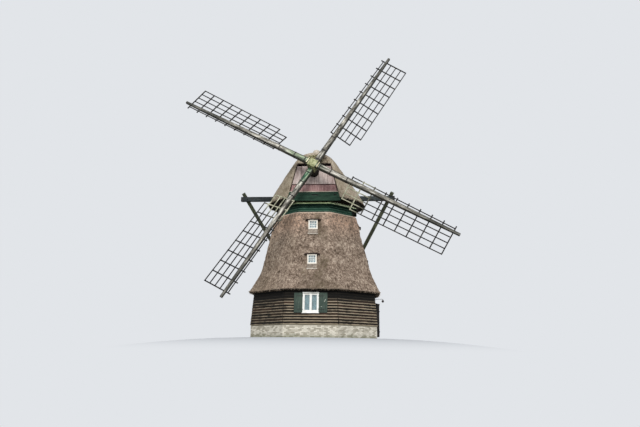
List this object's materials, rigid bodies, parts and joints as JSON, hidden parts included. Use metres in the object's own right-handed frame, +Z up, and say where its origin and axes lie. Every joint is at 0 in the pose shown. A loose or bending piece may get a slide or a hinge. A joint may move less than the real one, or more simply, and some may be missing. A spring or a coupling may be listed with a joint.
{
  "type": "traditional windmill",
  "caption": "Thatched octagonal smock mill with a turning cap, lattice sails, boarded base, hinged door, tail pole and braces.",
  "frame": {"origin": "on the tower's vertical axis, at ground level under the ground floor and plinth", "axes": "+Z up, -Y the front with the sails and breast, +X the side with the door, +Y the back with the tail pole"},
  "size_m": [19.1704, 14.2929, 20.8801],
  "materials": {
    "masonry": "limewashed brick",
    "dark_boards": "weathered dark lapped boards",
    "floor_boards": "plain boards",
    "white_paint": "white paint",
    "shutter_green": "dark green paint",
    "glass": "clear pane",
    "thatch": "weathered reed",
    "cap_thatch": "weathered mossy reed",
    "green_boards": "dark green paint",
    "frame_timber": "bare timber",
    "door_timber": "dark green paint",
    "ironwork": "black iron",
    "lamp": "dark globe on a bracket",
    "tail_timber": "dark weathered beams",
    "breast_red": "faded red paint",
    "stock_timber": "weathered grey and green paint",
    "lattice": "dark weathered bars"
  },
  "bodies": {
    "tower": {"plinth_sides": "masonry", "plinth_corners": "masonry", "main_walls": "dark_boards", "walls_beside_door": "dark_boards", "wall_over_door": "dark_boards", "corner_walls": "dark_boards", "ground_floor": "floor_boards", "upper_floors": "floor_boards", "base_window_frames": "white_paint", "shutters": "shutter_green", "small_window_frames": "white_paint", "window_glass": "glass", "window_hoods": "thatch", "thatch_main_sides": "thatch", "thatch_corner_sides": "thatch", "neck_drum": "green_boards", "drip_skirt": "green_boards", "curb": "frame_timber", "door_jambs": "door_timber", "door_head": "door_timber", "door_pins": "ironwork", "door_lamp": "lamp"},
    "cap": {"cap_ring": "frame_timber", "cap_soffit": "frame_timber", "sheers": "frame_timber", "spreaders": "tail_timber", "braces": "tail_timber", "tail_pole": "tail_timber", "winch": "tail_timber", "cap_thatch": "cap_thatch", "cap_ridge": "cap_thatch", "shaft_hood": "cap_thatch", "breast_boards": "breast_red", "cap_fascia": "green_boards", "shaft_beams": "frame_timber"},
    "rotor": {"windshaft": "stock_timber", "poll_end": "stock_timber", "inner_stock": "stock_timber", "outer_stock": "stock_timber", "sail_lattice_a": "lattice", "sail_lattice_b": "lattice", "sail_lattice_c": "lattice", "sail_lattice_d": "lattice"},
    "door": {"door_leaf": "door_timber", "door_fittings": "ironwork"}
  },
  "joints": [
    {"name": "cap_turn", "type": "hinge", "parent": "tower", "child": "cap", "pos_m": [0, 0, 9.5], "axis": [0, 0, 1], "continuous": true},
    {"name": "sail_turn", "type": "hinge", "parent": "cap", "child": "rotor", "pos_m": [0, -3.9, 11.65], "axis": [0, -0.9659, 0.2588], "continuous": true},
    {"name": "door_hinge", "type": "hinge", "parent": "tower", "child": "door", "pos_m": [4.547, -0.497, 1.2], "axis": [0, 0, -1], "range_deg": [0, 100]}
  ]
}
